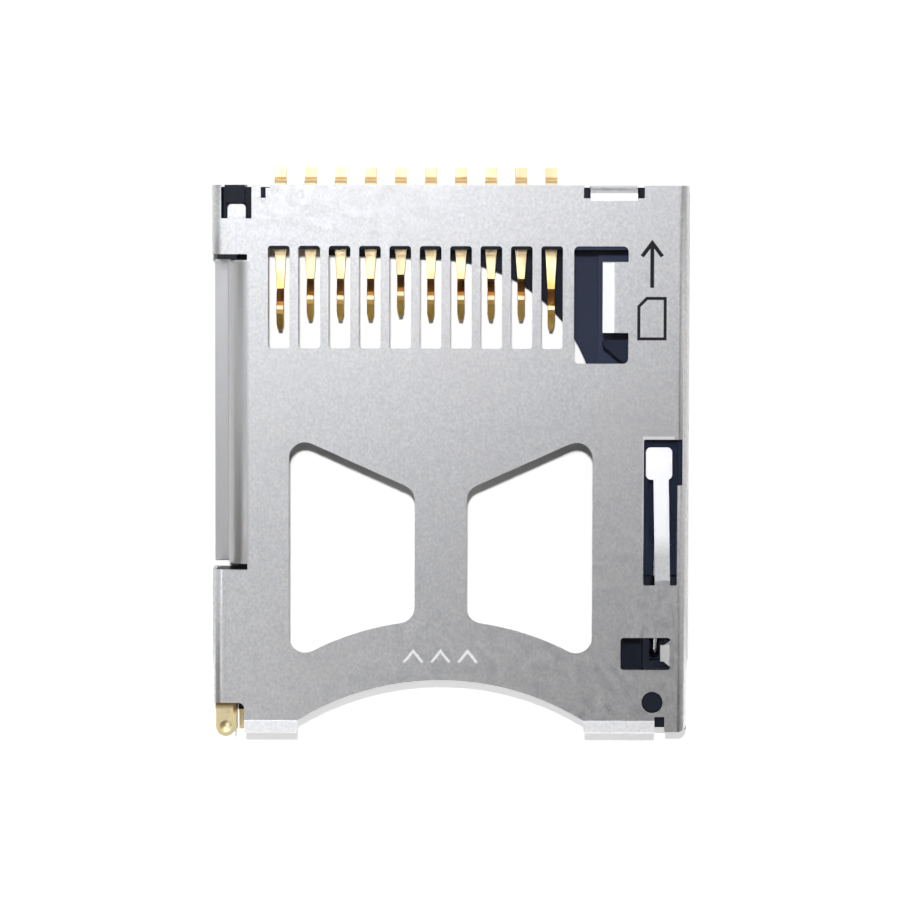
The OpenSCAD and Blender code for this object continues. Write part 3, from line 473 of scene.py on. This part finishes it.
def closed_line(corners, width):
    """A line of this width round the corners, one mitred outline a side."""
    inner, outer = [], []
    for i, corner in enumerate(corners):
        here = Vector(corner)
        coming = (here - Vector(corners[i - 1])).normalized()
        going = (Vector(corners[(i + 1) % len(corners)]) - here).normalized()
        mitre = Vector((coming.y + going.y, -coming.x - going.x)).normalized()
        mitre *= width / 2 / (mitre.x * going.y - mitre.y * going.x)
        outer.append(here + mitre)
        inner.append(here - mitre)
    return [[inner[i - 1], outer[i - 1], outer[i], inner[i]] for i in range(len(corners))]


def printed(name, outlines, mat):
    """Flat marks on the cover's top face, from outlines that don't overlap."""
    points, faces = [], []
    for outline in outlines:
        low, count = len(points), len(outline)
        high = low + count
        points += [(p[0], p[1], TOP_MM - PRINT_MM / 3) for p in outline]
        points += [(p[0], p[1], TOP_MM + PRINT_MM) for p in outline]
        faces.append([low + i for i in range(count)][::-1])
        faces.append([high + i for i in range(count)])
        for i in range(count):
            after = (i + 1) % count
            faces.append((low + i, low + after, high + after, high + i))
    return mesh_object(name, points, faces, mat)


# A plain pictogram, an arrow over the outline of a card, shows which way the card goes in.
ink_x = right_mm - 1.85
line = 0.19
arrow_top, arrow_len = rear_mm - 2.74, 2.3
arrow_half, arrow_rise = 0.5, 0.67
arrow_low = arrow_top - arrow_len
arrow = chevron(ink_x, arrow_top - 0.08, arrow_half, arrow_rise, line, line, arrow_low)
card_w, card_len, cut = 1.3, 2, 0.4
card_rear = arrow_low - 0.52
card_front = card_rear - card_len
left, right = ink_x - card_w / 2, ink_x + card_w / 2
corners = [
    (left, card_front), (right, card_front), (right, card_rear),
    (left + cut, card_rear), (left, card_rear - cut),
]
pictogram = printed("printed_pictogram", [arrow] + closed_line(corners, line * 0.8), black_ink)
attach(pictogram, "socket")

# Three light etched chevrons on the web between the windows point the same way.
etch_x, etch_top = right_mm - 12.27, rear_mm - 23.08
etch_pitch, etch_half, etch_rise, etch_line = 1.35, 0.45, 0.57, 0.13
chevrons = [
    chevron(etch_x + i * etch_pitch, etch_top, etch_half, etch_rise, etch_line) for i in (-1, 0, 1)
]
etching = printed("etched_chevrons", chevrons, etched)
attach(etching, "socket")


# Stage: a pale floor and soft studio light.


def look_at(obj, target):
    obj.rotation_euler = (Vector(target) - obj.location).to_track_quat("-Z", "Y").to_euler()


def area_light(name, place_mm, target_mm, width_mm, depth_mm, watts):
    data = bpy.data.lights.new(name, "AREA")
    data.shape = "RECTANGLE"
    data.size = width_mm * MM
    data.size_y = depth_mm * MM
    data.energy = watts
    lamp = bpy.data.objects.new(name, data)
    bpy.context.scene.collection.objects.link(lamp)
    lamp.location = [v * MM for v in place_mm]
    look_at(lamp, [v * MM for v in target_mm])
    return lamp


# The floor lies just below the socket. Under the cover's front and before it the floor glows to the
# camera and in what mirrors it, so the shadow there stays light.
FLOOR_SIZE_M, FLOOR_GAP_MM = 2, 0.02
FLOOR_GLOW = 0.52
GLOW_START_MM, GLOW_FULL_MM = 3.5, 2.7


def floor():
    bpy.ops.mesh.primitive_plane_add(size=FLOOR_SIZE_M, location=(0, 0, -FLOOR_GAP_MM * MM))
    obj = bpy.context.object
    obj.name = "floor"
    mat, tree, out, coord = blank_material("floor_look")
    shade = tree.nodes.new("ShaderNodeBsdfDiffuse")
    shade.inputs["Color"].default_value = (0.9, 0.9, 0.9, 1)
    glow = tree.nodes.new("ShaderNodeEmission")
    glow.inputs["Color"].default_value = (1, 1, 1, 1)
    ahead = patch(tree, coord, [("Y", front_mm + GLOW_START_MM, front_mm + GLOW_FULL_MM)], FLOOR_GLOW)
    tree.links.new(ahead, glow.inputs["Strength"])
    both = tree.nodes.new("ShaderNodeAddShader")
    tree.links.new(shade.outputs["BSDF"], both.inputs[0])
    tree.links.new(glow.outputs["Emission"], both.inputs[1])
    rays = tree.nodes.new("ShaderNodeLightPath")
    seen = rays.outputs["Is Camera Ray"]
    for kind in ("Is Glossy Ray", "Is Transmission Ray"):
        seen = combined(tree, "MAXIMUM", seen, rays.outputs[kind])
    mix = tree.nodes.new("ShaderNodeMixShader")
    tree.links.new(seen, mix.inputs["Fac"])
    tree.links.new(shade.outputs["BSDF"], mix.inputs[1])
    tree.links.new(both.outputs["Shader"], mix.inputs[2])
    tree.links.new(mix.outputs["Shader"], out.inputs["Surface"])
    obj.data.materials.append(mat)


floor()


# The studio is a light tent with glowing walls and a darker ceiling. The glow changes between these
# two heights, of which 1 would be straight up.
WALL_GLOW, CEILING_GLOW = 0.3, 0.02
WALL_TOP, CEILING_EDGE = 0.55, 0.97


def sky():
    world = bpy.data.worlds.new("studio")
    bpy.context.scene.world = world
    world.use_nodes = True
    tree = world.node_tree
    coord = tree.nodes.new("ShaderNodeTexCoord")
    parts = tree.nodes.new("ShaderNodeSeparateXYZ")
    tree.links.new(coord.outputs["Generated"], parts.inputs["Vector"])
    strength = spread(tree, parts.outputs["Z"], WALL_GLOW, CEILING_GLOW, WALL_TOP, CEILING_EDGE)
    background = tree.nodes["Background"]
    background.inputs["Color"].default_value = (1, 0.99, 0.985, 1)
    tree.links.new(strength, background.inputs["Strength"])


sky()

# The key lights the floor and the plastic, and nothing mirrors it.
key = area_light("key", (-4, 53, 245), (0, 0, 2), width_mm=12, depth_mm=12, watts=0.64)
key.visible_glossy = False

# Soft boxes that only mirroring surfaces show: name, colour, place, target, width, depth and watts,
# with places and sizes in millimetres
CENTRE = (0, 0, 0)
COLD, COOL, PLAIN, WARM = (0.87, 0.945, 1), (0.963, 0.967, 1), (1, 1, 1), (1, 0.955, 0.94)
BANKS = [
    ("rear_bank", COOL, (-32, 109, 168), CENTRE, 160, 195, 0.142),
    ("rear_top", COOL, (-10, 50, 235), CENTRE, 50, 50, 0.024),
    ("over_bank", COOL, (-12, 24, 245), (-4, 8, 0), 24, 24, 0.021),
    ("left_bank", COLD, (-93, 0, 200), CENTRE, 90, 120, 0.028),
    ("front_left_bank", WARM, (-60, -75, 205), CENTRE, 60, 60, 0.031),
    ("left_low", PLAIN, (-190, 20, 90), CENTRE, 90, 220, 0.045),
    ("right_bank", WARM, (150, 0, 150), CENTRE, 120, 220, 0.046),
    ("right_low", PLAIN, (190, 20, 90), CENTRE, 90, 220, 0.03),
]
for name, colour, place, target, width, depth, watts in BANKS:
    bank = area_light(name, place, target, width, depth, watts)
    bank.data.color = colour
    bank.visible_diffuse = False

# The camera stands over the rear edge, a few degrees off the vertical.
AIM_MM = Vector((-0.04, rear_mm - 13.081, TOP_MM))
LEAN, ROLL = math.radians(3.5), math.radians(0.12)
DISTANCE_MM, VIEW_MM = 200, 44.55
SENSOR_MM = 36
camera_data = bpy.data.cameras.new("camera")
camera = bpy.data.objects.new("camera", camera_data)
bpy.context.scene.collection.objects.link(camera)
bpy.context.scene.camera = camera
camera.location = (AIM_MM + DISTANCE_MM * Vector((0, math.sin(LEAN), math.cos(LEAN)))) * MM
camera.rotation_euler = (-LEAN, 0, ROLL)
camera_data.sensor_width = SENSOR_MM
camera_data.lens = SENSOR_MM * DISTANCE_MM / VIEW_MM
camera_data.clip_start = 0.01
camera_data.clip_end = 10

bpy.context.scene.view_settings.view_transform = "Standard"
